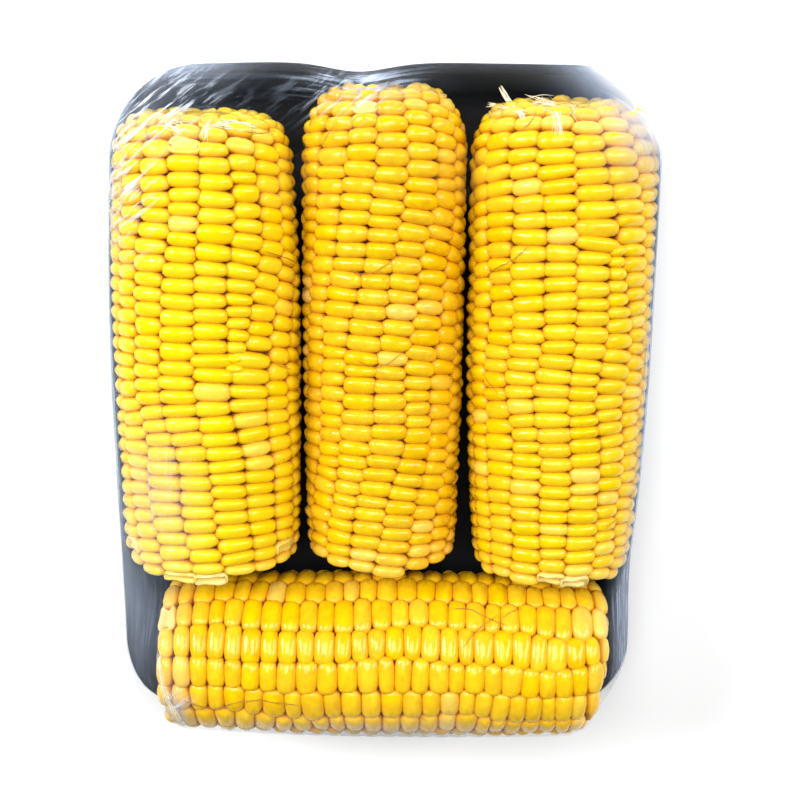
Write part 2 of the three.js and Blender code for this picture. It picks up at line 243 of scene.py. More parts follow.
rings = [tray_outline(inset, z, STEPS_ACROSS, STEPS_ALONG) for inset, z in tray_profile()]
count = len(rings[0])
points = np.concatenate([*rings, [(0, 0, FLOOR_Z), (0, 0, UNDERSIDE_Z)]])
faces = ring_faces(len(rings), count)
last = (len(rings) - 1) * count
for step in range(count):
    after = (step + 1) % count
    faces.append((step, after, len(points) - 2))
    faces.append((last + step, last + after, len(points) - 1))
tray = new_piece("foam_tray", points, faces, foam)
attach(tray, "root")
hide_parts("tray")

# Left ear
# A husked ear of sweet corn: a woody core set all round with rows of plump yellow kernels, trimmed
# at both ends. It lies on the tray's floor, and its near end is torn where the stalk was cut.
KERNEL_HALF_WIDTH = 4.8
KERNEL_HALF_LENGTH = 2.3
KERNEL_TOP = 2.3
CROWN_FALL = 0.28  # share of its height that a crown loses at both sides of the row
CORE_DEPTH = 3.6  # from the crowns down to the core between the kernels
STUB_RADIUS = 11.0
ROUND_KIND = 3  # places of two kernel shapes in the order of their names
TORN_KIND = 4
KERNEL_MOTTLE = 2.6
COB_GRAIN = 0.9
ears = []


def kernel_shape(name, levels, tip, power=3.3, wedge=0.0, slant=0.0, jag=0.0):
    """One kernel about its seat: rings root to crown, each with its height, inset and share of the way up,
    which sets the painted crease shade.
    """
    count = 12
    random = np.random.default_rng(len(name))
    turns = (np.arange(count) + 0.5) * 2 * math.pi / count
    plan_x = np.sign(np.cos(turns)) * np.abs(np.cos(turns)) ** (2 / power)
    plan_y = np.sign(np.sin(turns)) * np.abs(np.sin(turns)) ** (2 / power)
    points, ripeness = [], []
    for height, inset, crown_share in levels:
        x = (KERNEL_HALF_WIDTH - inset) * plan_x
        y = (KERNEL_HALF_LENGTH - inset) * plan_y * (1 - wedge * plan_x)
        lift = slant * plan_y - CROWN_FALL * (x / KERNEL_HALF_WIDTH) ** 2
        ragged = jag * random.uniform(-1, 1, count) * (height > 0.5)
        z = height + lift * max(0, height) + ragged
        points.append(np.column_stack([x, y, z]))
        ripeness += [crown_share] * count
    points = np.concatenate([*points, [(0, 0, tip)]])
    faces = ring_faces(len(levels), count)
    last = (len(levels) - 1) * count
    faces += [(last + step, last + (step + 1) % count, len(points) - 1) for step in range(count)]
    faces.append(tuple(range(count)))
    return new_piece(name, points, faces, corn, {"ripeness": ripeness + [1.0]})


def new_tree(name, sockets):
    """An empty geometry tree that takes a mesh and what its sockets name, and the outputs of its input."""
    tree = bpy.data.node_groups.new(name, "GeometryNodeTree")
    for label, kind in {"Geometry": "NodeSocketGeometry", **sockets}.items():
        tree.interface.new_socket(label, in_out="INPUT", socket_type=kind)
    tree.interface.new_socket("Geometry", in_out="OUTPUT", socket_type="NodeSocketGeometry")
    return tree, add_node(tree, "NodeGroupInput").outputs


def end_tree(tree, shape, skin):
    """Ends a tree in one plain mesh of one material."""
    real = add_node(tree, "GeometryNodeRealizeInstances", {"Geometry": shape})
    skinned = add_node(tree, "GeometryNodeSetMaterial", {
        "Geometry": real.outputs["Geometry"], "Material": skin})
    add_node(tree, "NodeGroupOutput", {"Geometry": skinned.outputs["Geometry"]})


def set_inputs(modifier, values):
    """Sets a node modifier's inputs by their names in its tree."""
    for item in modifier.node_group.interface.items_tree:
        if item.item_type == "SOCKET" and item.in_out == "INPUT" and item.name in values:
            modifier[item.identifier] = values[item.name]


def grown(piece, tree, values):
    """The piece as a plain mesh after its node tree has run."""
    modifier = piece.modifiers.new("grow", "NODES")
    modifier.node_group = tree
    set_inputs(modifier, values)
    seen = piece.evaluated_get(bpy.context.evaluated_depsgraph_get())
    mesh = bpy.data.meshes.new_from_object(seen)
    piece.modifiers.remove(modifier)
    bare, piece.data = piece.data, mesh
    bpy.data.meshes.remove(bare)
    mesh.name = piece.name
    return piece


def ear_radius(ear, along):
    """Radius over the crowns at a place along the ear from its middle."""
    half = ear["length"] / 2
    share = along / half
    near_scale, near_dome, near_drop = ear["near"]
    far_scale, far_dome, far_drop = ear["far"]
    scale = np.where(share < 0, near_scale, far_scale)
    near_round = np.maximum(0, 1 - (half + along) / near_dome)
    far_round = np.maximum(0, 1 - (half - along) / far_dome)
    over = np.sqrt(1 - np.clip((along - half) / ear["cap"] + 1, 0, 0.98) ** 2)
    taper = 1 - (1 - scale) * share**2
    ends = 1 - near_drop * near_round**2 - far_drop * far_round**2
    return ear["radius"] * taper * ends * over


def slant_back(ear, aside, along):
    """How far a slanted cut moves a place back from the far end, most on the ear's own right side."""
    share = np.maximum(0, along / (ear["length"] / 2))
    return ear["slant"] * share**3 * (0.5 + 0.5 * aside / ear["radius"])


def row_edges(ear, along):
    """Angles of the grooves between rows at a place along the ear: rows drift, widen, narrow and end."""
    rows = np.arange(ear["rows"])
    share = along / (ear["length"] / 2)
    straight, curved = ear["drift"]
    slow = 0.07 * np.sin(along / 13 + 2.4 * rows + ear["seed"])
    width = 1 + slow + 0.05 * np.sin(along / 5.3 + 1.7 * rows)
    for row, last, way in ear["lost"]:
        width[row] *= np.clip(0.3 + way * (along - last) / 45, 0.001, 1)
    even = np.concatenate([[0], np.cumsum(width)]) * 2 * math.pi / width.sum()
    for row, *_ in ear["lost"]:
        if width[row] < 0.45:
            even[row:row + 2] = even[row:row + 2].mean()
    wave = 0.7 * math.sin(along / 11 + ear["seed"]) + 0.35 * np.sin(along / 6.1 + even)
    return ear["groove"] + even + straight * share + curved * share**2 + wave / ear["radius"]


def lay_kernels(ear):
    """Each kernel's place, turn, size, kind, shade and paleness, row by row, in the ear's own frame."""
    random = np.random.default_rng(ear["seed"])
    half = ear["length"] / 2
    pitch = ear["length"] / ear["kernels"]
    kernels = cap_kernels(ear, random)
    for row in range(ear["rows"]):
        along = ear["trim"] + random.uniform(-0.3, 0.45) * pitch - half
        stop = half - random.uniform(0.3, 0.55) * ear["cap"]
        while along < stop:
            from_end = max(0, min(half - along, half + along))
            edges = row_edges(ear, along)
            width = edges[row + 1] - edges[row]
            narrow = np.clip(0.35 + 0.65 * width * ear["rows"] / (2 * math.pi), 0.5, 1)
            uneven = np.clip(random.normal(1, 0.08), 0.75, 1.25)
            long = narrow * pitch * uneven * (0.86 + 0.14 * min(1, from_end / 14))
            slope = float(ear_radius(ear, along) - ear_radius(ear, along + 1.5)) / 1.5
            advance = long / math.hypot(1, max(0, slope))
            kernels += place_kernel(ear, random, row, along + advance / 2, long)
            along += advance
    return kernels


def cap_kernels(ear, random):
    """Round kernels that close the far end in rings, turned more along the ear towards its tip."""
    start = ear["length"] / 2 - ear["cap"]
    rim = float(ear_radius(ear, start))
    kernels = []
    for slope in np.radians([40, 24, 8]):
        radius = rim * math.sin(slope)
        count = max(3, round(2 * math.pi * radius / 6.6))
        for angle in (np.arange(count) + random.uniform(-0.3, 0.3, count)) * 2 * math.pi / count:
            aside = Vector((math.sin(angle), 0, math.cos(angle)))
            out = aside * math.sin(slope) / rim + Vector((0, math.cos(slope) / ear["cap"], 0))
            out.normalize()
            size = Vector((0.8, 1.45, 0.85)) * random.uniform(0.9, 1.1)
            ahead = Vector((0, start + ear["cap"] * math.cos(slope), 0))
            spot = aside * radius + ahead - out * KERNEL_TOP * size.z
            if random.random() < ear["torn"][1]:
                kind, pale = TORN_KIND, random.uniform(0.4, 0.9)
            else:
                kind, pale = ROUND_KIND, 0.25 * random.random()
            turn = out.to_track_quat("Z", "Y").to_matrix()
            kernels.append((spot, turn, size, kind, 0.5 * random.random(), pale))
    return kernels


def place_kernel(ear, random, row, middle, long):
    """One kernel of a row, in a list, or none where the row has ended."""
    half = ear["length"] / 2
    edges, ahead, behind = [row_edges(ear, middle + step) for step in (0, 1, -1)]
    for step in (-0.8, 0.8):
        beside = row_edges(ear, middle + step * long)
        if beside[row + 1] - beside[row] > 1.1 * (edges[row + 1] - edges[row]) > 0.1:
            edges = beside
    angle = (edges[row] + edges[row + 1]) / 2 + random.normal(0, 0.12) / ear["radius"]
    radius, after, before = ear_radius(ear, np.clip([middle, middle + 1, middle - 1], -half, half))
    lean = np.clip((ahead[row] + ahead[row + 1] - behind[row] - behind[row + 1]) / 4 * radius, -0.35, 0.35)
    wide = ear["fill"] * (radius - 1.2) * (edges[row + 1] - edges[row]) / (2 * KERNEL_HALF_WIDTH)
    if wide < 0.1:
        return []
    at_near, at_far = middle - 1.6 * long < ear["trim"] - half, middle + long > half - ear["cap"]
    size = Vector((wide, 1.13 * long / (2 * KERNEL_HALF_LENGTH), random.uniform(0.92, 1.08)))
    kind = int(random.integers(0, ROUND_KIND)) if wide > 0.72 else ROUND_KIND
    pale = random.uniform(0.1, 0.25) if random.random() < 0.03 else random.uniform(0, 0.04)
    torn = ear["torn"][0] if at_near else ear["torn"][1] if at_far else 0
    if random.random() < torn:
        kind, pale = TORN_KIND, random.uniform(0.2, 0.7)
    elif at_near or at_far or random.random() < 0.02:
        kind, pale = ROUND_KIND, pale + 0.2 * random.random()
    seat = radius - KERNEL_TOP * size.z + random.normal(0, 0.12)
    spot = Vector((seat * math.sin(angle), middle, seat * math.cos(angle)))
    tilt = math.atan((after - before) / 2) - 0.3 * at_far * random.random() + 0.3 * at_near * random.random()
    tilt += random.normal(0, 0.04)
    roll = random.normal(0, 0.03)
    veer = random.normal(0, 0.03) - math.atan(0.4 * lean + ear["skew"] * math.sin(angle))
    turn = (Matrix.Rotation(angle, 3, "Y") @ Matrix.Rotation(tilt, 3, "X")
            @ Matrix.Rotation(roll, 3, "Y") @ Matrix.Rotation(veer, 3, "Z"))
    return [(spot, turn, size, kind, ear["shade"] + 0.35 * random.random(), pale)]


def new_ear(name, **ear):
    """The two pieces of an ear, kernels and core, in place of its solid. An end, near or far, has its share
    of the radius, the length of its round and the share that the round takes off. A lost row has its
    number, where it ends and which way it fades, and torn is the share of torn kernels at both ends."""
    ears.append(ear)
    frame_turn = Matrix.Rotation(ear["turn"], 3, "Z")
    middle = Vector((ear["x"], ear["y"], ear["z"]))
    kernels = lay_kernels(ear)
    for spot, *_ in kernels:
        spot.y -= slant_back(ear, spot.x, spot.y)
    spots = [frame_turn @ spot + middle for spot, *_ in kernels]
    seats = new_piece(name + "_kernels", spots, [], corn)
    ear["crowns"] = [frame_turn @ (spot + turn @ Vector((0, 0, KERNEL_TOP * size.z))) + middle
                     for spot, turn, size, *_ in kernels]
    turns = [(frame_turn @ turn).to_euler() for _, turn, *_ in kernels]
    _, _, sizes, kinds_here, shades, palenesses = zip(*kernels)
    for key, data_type, field, numbers in (
        ("turn", "FLOAT_VECTOR", "vector", turns),
        ("size", "FLOAT_VECTOR", "vector", sizes),
        ("kind", "INT", "value", kinds_here),
        ("shade", "FLOAT", "value", shades),
        ("paleness", "FLOAT", "value", palenesses),
    ):
        column = seats.data.attributes.new(key, data_type, "POINT").data
        column.foreach_set(field, np.array(numbers).ravel())
    grown(seats, kernel_tree, {"Shapes": shapes, "Skin": corn})
    for key in ("turn", "size", "kind"):
        seats.data.attributes.remove(seats.data.attributes[key])
    core = new_core(name, ear, frame_turn, middle)
    for piece in (seats, core):
        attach(piece, "root")
        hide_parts(name)


def new_core(name, ear, frame_turn, middle):
    """The core inside the kernels, with a rough cut stub at its near end."""
    random = np.random.default_rng(ear["seed"] + 1)
    half = ear["length"] / 2
    count = 36
    turns = np.arange(count) * 2 * math.pi / count
    ends = half - ear["trim"], half - ear["cap"]
    body = np.linspace(2.5 - ends[0], ends[1] - 2.5, 30)
    stations = [(along, radius - CORE_DEPTH, 0.0) for along, radius in zip(body, ear_radius(ear, body))]
    near, far = [], []
    for ring, (_, rim, _), end, stub, way in (
            (near, stations[0], ends[0], ear["stub"], -1), (far, stations[-1], ends[1], 0.8, 1)):
        core = min(STUB_RADIUS, 0.7 * rim)
        tip = way * (end - 1.5 + stub)
        ring += [
            (way * (end - 1.8), 0.85 * rim, 0.3), (way * (end - 1.5), 1.08 * core, 0.45),
            (tip - 0.4 * way, core, 0.6), (tip, 0.62 * core, 0.85), (tip, 0.3 * core, 1.0)]
    near.reverse()
    points, pith = [], []
    for along, radius, value in near + stations + far:
        rough = 1 + 0.05 * random.uniform(-1, 1, count)
        step_back = 0.35 * random.uniform(-1, 1, count) * (value > 0.5)
        out = radius * rough
        points.append(np.column_stack([out * np.sin(turns), along + step_back, out * np.cos(turns)]))
        pith += [value] * count
    tips = [(0, near[0][0], 0), (0, far[-1][0], 0)]
    rings = len(points)
    points = np.concatenate([*points, tips])
    faces = ring_faces(rings, count)
    last = (rings - 1) * count
    for step in range(count):
        after = (step + 1) % count
        faces.append((step, after, len(points) - 2))
        faces.append((last + step, last + after, len(points) - 1))
    points[:, 1] -= slant_back(ear, points[:, 0], points[:, 1])
    placed = points @ np.array(frame_turn).T + np.array(middle)
    return new_piece(name + "_core", placed, faces, cob, {"pith": pith + [1.0, 1.0]})


corn, nodes, place = new_material("sweet_corn_kernel")
# Thin waxy skin over juicy flesh, bright yellow at the crown and darkening to orange-brown down at the root
# as painted shade in the creases between kernels; each kernel its own shade of yellow, faintly mottled and a
# little translucent
crown_share = add_node(nodes, "ShaderNodeAttribute", attribute_name="ripeness")
shade = add_node(nodes, "ShaderNodeAttribute", attribute_name="shade")
paleness = add_node(nodes, "ShaderNodeAttribute", attribute_name="paleness")
mottle = add_node(nodes, "ShaderNodeTexNoise", {
    "Vector": place, "Scale": 1 / (KERNEL_MOTTLE * MM), "Detail": 2.0})
skin = add_node(nodes, "ShaderNodeMix", {
    "Factor": shade.outputs["Fac"], "A": linear("#d49600"), "B": linear("#eece00")}, data_type="RGBA")
clouded = add_node(nodes, "ShaderNodeMix", {
    "Factor": mottle.outputs["Fac"], "A": skin.outputs[MIXED_COLOUR], "B": linear("#f4d000")},
    data_type="RGBA")
creamy = add_node(nodes, "ShaderNodeMix", {
    "Factor": paleness.outputs["Fac"], "A": clouded.outputs[MIXED_COLOUR], "B": linear("#fbe6a2")},
    data_type="RGBA")
# painted shade: dark orange-brown down at each kernel's root, where the creases between kernels lie in shade
root = add_node(nodes, "ShaderNodeValToRGB", {"Fac": crown_share.outputs["Fac"]})
root.color_ramp.elements[0].position = 0.2
root.color_ramp.elements[0].color = linear("#9a5800")
root.color_ramp.elements[1].position = 0.66
root.color_ramp.elements[1].color = linear("#e6a400")
# how far up from the root the painted crease shade reaches
deep = add_node(nodes, "ShaderNodeMapRange", {
    "Value": crown_share.outputs["Fac"], "From Min": 0.45, "From Max": 0.92})
waxy = add_node(nodes, "ShaderNodeMapRange", {
    "Value": crown_share.outputs["Fac"], "From Min": 0.5, "From Max": 0.85, "To Min": 0.65, "To Max": 0.16})
skin_over_painted_crease_shade = add_node(nodes, "ShaderNodeMix", {
    "Factor": deep.outputs["Result"], "A": root.outputs["Color"], "B": creamy.outputs[MIXED_COLOUR]},
    data_type="RGBA")
dents = add_node(nodes, "ShaderNodeBump", {
    "Strength": 0.25, "Distance": 0.25 * MM, "Height": mottle.outputs["Fac"]})
shader = add_node(nodes, "ShaderNodeBsdfPrincipled", {
    "Base Color": skin_over_painted_crease_shade.outputs[MIXED_COLOUR], "Normal": dents.outputs["Normal"],
    "Roughness": waxy.outputs["Result"], "Specular IOR Level": 0.34,
    "Subsurface Weight": 0.18, "Subsurface Scale": 1.6 * MM})
shader.inputs["Subsurface Radius"].default_value = (1.0, 0.6, 0.12)
add_node(nodes, "ShaderNodeOutputMaterial", {"Surface": shader.outputs["BSDF"]})

cob, nodes, place = new_material("corn_cob_core")
# Chaffy pale brown between the kernels, a woody ring and soft white pith on the cut ends
pith = add_node(nodes, "ShaderNodeAttribute", attribute_name="pith")
fibre = add_node(nodes, "ShaderNodeTexNoise", {
    "Vector": place, "Scale": 1 / (COB_GRAIN * MM), "Detail": 4.0})
wood = add_node(nodes, "ShaderNodeValToRGB", {"Fac": pith.outputs["Fac"]})
wood.color_ramp.elements[0].color = linear("#8a4c10")
wood.color_ramp.elements[1].color = linear("#f3ecd2")
middle_tone = wood.color_ramp.elements.new(0.45)
middle_tone.color = linear("#d9bf86")
fleck = add_node(nodes, "ShaderNodeMix", {
    "Factor": fibre.outputs["Fac"], "A": wood.outputs["Color"], "B": linear("#d8c9a0")},
    data_type="RGBA", blend_type="MULTIPLY")
rough = add_node(nodes, "ShaderNodeBump", {
    "Strength": 0.8, "Distance": 0.4 * MM, "Height": fibre.outputs["Fac"]})
shader = add_node(nodes, "ShaderNodeBsdfPrincipled", {
    "Base Color": fleck.outputs[MIXED_COLOUR], "Normal": rough.outputs["Normal"], "Roughness": 0.75})
add_node(nodes, "ShaderNodeOutputMaterial", {"Surface": shader.outputs["BSDF"]})

PLUMP = [
    (-4.2, 0.6, 0.0), (-0.4, 0.0, 0.2), (0.55, 0.1, 0.45),
    (1.25, 0.42, 0.68), (1.8, 0.92, 0.86), (2.15, 1.5, 0.97)]
ROUND = [
    (-4.2, 0.9, 0.0), (-1.2, 0.1, 0.2), (0.2, 0.0, 0.45),
    (1.2, 0.3, 0.72), (1.9, 0.9, 0.9), (2.25, 1.55, 1.0)]
TORN = [
    (-4.2, 0.7, 0.0), (-1.0, 0.1, 0.35), (0.4, -0.1, 0.7),
    (1.3, 0.1, 1.0), (0.9, 0.7, 0.95), (0.1, 1.4, 0.8)]
shapes = bpy.data.collections.new("kernel_shapes")
for shape in (
    kernel_shape("kernel_0_plump", PLUMP, KERNEL_TOP),
    kernel_shape("kernel_1_wedge", PLUMP, KERNEL_TOP, wedge=0.12),
    kernel_shape("kernel_2_slanted", PLUMP, KERNEL_TOP, slant=0.1),
    kernel_shape("kernel_3_round", ROUND, 2.4, power=2.5),
    kernel_shape("kernel_4_torn", TORN, -0.1, jag=0.8),
):
    bpy.context.scene.collection.objects.unlink(shape)
    shapes.objects.link(shape)

kernel_tree, given = new_tree("kernels_in_rows", {
    "Shapes": "NodeSocketCollection", "Skin": "NodeSocketMaterial"})
kinds = add_node(kernel_tree, "GeometryNodeCollectionInfo", {
    "Collection": given["Shapes"], "Separate Children": True, "Reset Children": True})
turn, kind, size = [
    add_node(kernel_tree, "GeometryNodeInputNamedAttribute", {"Name": name}, data_type=data_type)
    for name, data_type in (("turn", "FLOAT_VECTOR"), ("kind", "INT"), ("size", "FLOAT_VECTOR"))]
facing = add_node(kernel_tree, "FunctionNodeEulerToRotation", {"Euler": turn.outputs["Attribute"]})
set_out = add_node(kernel_tree, "GeometryNodeInstanceOnPoints", {
    "Points": given["Geometry"], "Instance": kinds.outputs["Instances"], "Pick Instance": True,
    "Instance Index": kind.outputs["Attribute"], "Rotation": facing.outputs["Rotation"],
    "Scale": size.outputs["Attribute"]})
end_tree(kernel_tree, set_out.outputs["Instances"], given["Skin"])

new_ear(
    "ear_left", x=-51.4, y=22.5, z=32.5, turn=math.radians(-0.5), length=137.1, radius=28.0,
    near=(0.97, 10, 0.09), far=(0.89, 13, 0.2), slant=0, cap=4.5, trim=2.2, stub=6,
    rows=18, kernels=31, groove=0.02, drift=(-0.07, 0.24), skew=0.25, lost=[(1, -6, 1)],
    torn=(0.35, 0.12), fill=1.1, shade=0.95, seed=11)

# Middle ear
# The slimmest of the three, cut to the same length, with rows that wind to the left towards the near
# end and a round, blunt far end. Its kernels are a deeper yellow.
new_ear(
    "ear_middle", x=1.2, y=26.95, z=29.2, turn=0.0, length=142.9, radius=24.5,
    near=(0.97, 14, 0.04), far=(0.98, 17, 0.36), slant=0, cap=3.5, trim=0.8, stub=7,
    rows=16, kernels=32, groove=-0.005, drift=(0.42, -0.04), skew=0.25, lost=[],
    torn=(0, 0.1), fill=1.11, shade=-0.08, seed=23)

# Right ear
# An ear with straight rows of small kernels, uneven towards its rounded far end.
# It lies on the tray's floor between the middle ear and the right wall.
new_ear(
    "ear_right", x=53.8, y=23.9, z=31.5, turn=math.radians(0.8), length=142.8, radius=27.5,
    near=(0.89, 9, 0.08), far=(0.97, 14, 0.3), slant=0, cap=4.5, trim=1.5, stub=4.6,
    rows=18, kernels=32, groove=0.05, drift=(-0.03, -0.03), skew=0.25, lost=[(1, 42, -1)],
    torn=(0.25, 0.08), fill=1.12, shade=0.34, seed=37)

# Lying ear
# The fourth ear lies across the near end of the tray, on its wall and on the stubs of the others.
# Its kernels are the largest, and round at both ends.
new_ear(
    "ear_across", x=2.0, y=-78.1, z=35.6, turn=-math.pi / 2, length=144.0, radius=26.2,
    near=(0.91, 12, 0.16), far=(0.96, 12, 0.13), slant=8, cap=3.5, trim=3.4, stub=2,
    rows=16, kernels=25, groove=0.02, drift=(0.02, 0.02), skew=0.0, lost=[],
    torn=(0.15, 0), fill=1.15, shade=-0.06, seed=41)
for shape in list(shapes.objects):
    bpy.data.meshes.remove(shape.data)
bpy.data.collections.remove(shapes)

# Silk threads
# Dried brown silk that stuck to the moist kernels when the husk was pulled off, in loose single threads.
# They lie on the crowns, pressed down by the film.
END_REACH = 5.0  # over which the height falls past an ear's end
THREAD_STEP = 0.8
SILK_LIFT = 0.25  # of a dried thread's middle over the crowns, and how far it sways
SILK_PATCH = 4.0


def ear_tops(x, y, lift):
    """Height over the ears' crowns at points of the plan, or the rim where there is none."""
    tops = np.full_like(x, RIM_Z)
    for ear in ears:
        cos, sin = math.cos(ear["turn"]), math.sin(ear["turn"])
        aside = (x - ear["x"]) * cos + (y - ear["y"]) * sin
        along = (y - ear["y"]) * cos - (x - ear["x"]) * sin
        along += slant_back(ear, aside, along)
        on_ear = np.clip(along, -ear["length"] / 2, ear["length"] / 2 - ear["cap"])
        past = np.minimum(1, np.abs(along - on_ear) / END_REACH)
        radius = (ear_radius(ear, on_ear) + lift) * np.sqrt(1 - past**2)
        rise = np.sqrt(np.maximum(0, radius**2 - aside**2))
        tops = np.where(np.abs(aside) < radius, np.maximum(tops, ear["z"] + rise), tops)
    return tops


def thread(stops, thickness, lift, sway, random):
    """Points of one thread through places of the plan, laid on the crowns, and its thickness at each."""
    stops = np.array(stops, dtype=float)
    reach = np.concatenate([[0], np.cumsum(np.hypot(*np.diff(stops, axis=0).T))])
    at = np.linspace(0, reach[-1], max(5, int(reach[-1] / THREAD_STEP)))
    x, y = [np.interp(at, reach, side) for side in stops.T]
    for _ in range(4):
        x[1:-1] = (x[:-2] + 2 * x[1:-1] + x[2:]) / 4
        y[1:-1] = (y[:-2] + 2 * y[1:-1] + y[2:]) / 4
    x += sway * np.sin(at / 1.9 + random.uniform(0, 6))
    y += sway * np.sin(at / 2.6 + random.uniform(0, 6))
    z = ear_tops(x, y, lift) + 0.5 * sway * np.sin(at / 1.5)
    taper = np.minimum(1, 0.35 + np.minimum(at, reach[-1] - at) / 3)
    return np.column_stack([x, y, z]), thickness * taper


def new_threads(name, threads, material):
    """One piece of many threads, each drawn out from its line with its own thickness."""
    points = np.concatenate([line for line, _ in threads])
    thickness = np.concatenate([value for _, value in threads])
    edges, first = [], 0
    for line, _ in threads:
        edges += [(first + step, first + step + 1) for step in range(len(line) - 1)]
        first += len(line)
    piece = new_piece(name, points, [], material, {"thickness": thickness * MM}, edges)
    grown(piece, thread_tree, {"Skin": material})
    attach(piece, "root")


thread_tree, given = new_tree("threads_from_lines", {"Skin": "NodeSocketMaterial"})
lines = add_node(thread_tree, "GeometryNodeMeshToCurve", {"Mesh": given["Geometry"]})
section = add_node(thread_tree, "GeometryNodeCurvePrimitiveCircle", {"Resolution": 5, "Radius": 0.5})
thickness = add_node(thread_tree, "GeometryNodeInputNamedAttribute", {"Name": "thickness"}, data_type="FLOAT")
tubes = add_node(thread_tree, "GeometryNodeCurveToMesh", {
    "Curve": lines.outputs["Curve"], "Profile Curve": section.outputs["Curve"],
    "Scale": thickness.outputs["Attribute"], "Fill Caps": True})
end_tree(thread_tree, tubes.outputs["Mesh"], given["Skin"])

dry_silk, nodes, place = new_material("dried_corn_silk")
# Brown and brittle, lighter in places along each thread
patches = add_node(nodes, "ShaderNodeTexNoise", {
    "Vector": place, "Scale": 1 / (SILK_PATCH * MM), "Detail": 2.0})
tone = add_node(nodes, "ShaderNodeMix", {
    "Factor": patches.outputs["Fac"], "A": linear("#7a4210"), "B": linear("#c48a34")}, data_type="RGBA")
shader = add_node(nodes, "ShaderNodeBsdfPrincipled", {
    "Base Color": tone.outputs[MIXED_COLOUR], "Roughness": 0.5})
add_node(nodes, "ShaderNodeOutputMaterial", {"Surface": shader.outputs["BSDF"]})

random = np.random.default_rng(5)
new_threads("dried_silk", [thread(stops, thick, SILK_LIFT, SILK_LIFT, random) for thick, stops in (
    (0.22, [(-31.3, 55.0), (-29.4, 53.8), (-25.8, 50.8), (-23.6, 48.6)]),
    (0.2, [(42.1, 58.1), (38.0, 54.1), (33.7, 51.4), (30.4, 46.2)]),
    (0.26, [(42.3, 93.0), (40.6, 90.4), (37.9, 88.2)]),
    (0.26, [(-58.9, -82.3), (-51.0, -85.5), (-42.8, -82.7), (-34.9, -80.8), (-23.4, -83.1)]),
    (0.24, [(23.4, -55.6), (29.3, -56.0), (36.2, -57.8), (40.0, -59.2)]),
    (0.2, [(38.3, -57.8), (41.3, -56.3), (44.6, -55.4)]),
    (0.24, [(26.0, -64.5), (30.1, -61.1), (33.2, -58.4), (37.0, -56.6)]),
    (0.2, [(-29.5, 22.2), (-27.3, 20.1), (-25.4, 17.7)]),
    (0.22, [(-8.0, 50.0), (-3.0, 48.6), (0.6, 50.5), (3.7, 52.5), (7.0, 54.1)]),
    (0.22, [(-6.0, 24.0), (-1.0, 21.5), (4.0, 24.0), (8.0, 27.0)]),
    (0.2, [(30.4, 18.7), (32.6, 15.9), (34.8, 14.2)]),
    (0.2, [(72.5, -24.3), (70.0, -25.3), (67.7, -26.2)]),
    (0.2, [(-28.8, 87.0), (-33.0, 86.0), (-37.0, 87.0)]),
    (0.2, [(-12.0, 90.0), (-15.0, 84.0), (-18.0, 80.0)]))], dry_silk)

# Pale fibres
# Shreds of fresh silk and inner husk left at the ears' ends, white and limp.
# They hang over the trimmed ends and cling to the last kernels under the film.
FIBRE_LIFT = 0.3  # of a shred's middle over the crowns, and how far it sways
FIBRE_PATCH = 5.0
pale_silk, nodes, place = new_material("fresh_corn_silk")
# Moist and soft, nearly white, creamy in places
patches = add_node(nodes, "ShaderNodeTexNoise", {
    "Vector": place, "Scale": 1 / (FIBRE_PATCH * MM), "Detail": 2.0})
tone = add_node(nodes, "ShaderNodeMix", {
    "Factor": patches.outputs["Fac"], "A": linear("#f0e2b4"), "B": linear("#fdf8e6")}, data_type="RGBA")
shader = add_node(nodes, "ShaderNodeBsdfPrincipled", {
    "Base Color": tone.outputs[MIXED_COLOUR], "Roughness": 0.45})
add_node(nodes, "ShaderNodeOutputMaterial", {"Surface": shader.outputs["BSDF"]})


def tuft(start, end, spread, count, thick, random):
    """Threads side by side from around one place of the plan to around another."""
    start, end = np.array(start, dtype=float), np.array(end, dtype=float)
    threads = []
    for _ in range(count):
        first = start + random.normal(0, spread, 2)
        last = end + random.normal(0, spread, 2)
        bend = (first + last) / 2 + random.normal(0, 0.8 * spread, 2)
        thickness = thick * random.uniform(0.6, 1.2)
        threads.append(thread([first, bend, last], thickness, FIBRE_LIFT, FIBRE_LIFT, random))
    return threads


fibres = []
for start, end, spread, count, thick in (
    ((47.3, 95.0), (47.9, 88.0), 0.6, 18, 0.14),
    ((52.4, 95.0), (53.0, 92.8), 1.3, 12, 0.12),
    ((34.5, 98.5), (39.0, 91.5), 0.35, 12, 0.3),
    ((31.0, 93.5), (39.5, 92.5), 0.35, 8, 0.3),
    ((43.0, 95.0), (49.0, 94.5), 0.8, 12, 0.25),
    ((-58.0, 89.0), (-52.0, 88.0), 0.8, 12, 0.22),
    ((-44.0, 89.5), (-34.0, 88.3), 0.8, 22, 0.2),
    ((-46.0, 89.5), (-47.0, 85.5), 0.8, 12, 0.2),
    ((-66.0, -68.0), (-65.0, -80.0), 0.6, 14, 0.09),
    ((-65.0, -79.0), (-60.0, -96.0), 1.2, 26, 0.1),
):
    fibres += tuft(start, end, spread, count, thick, random)
new_threads("pale_fibres", fibres, pale_silk)

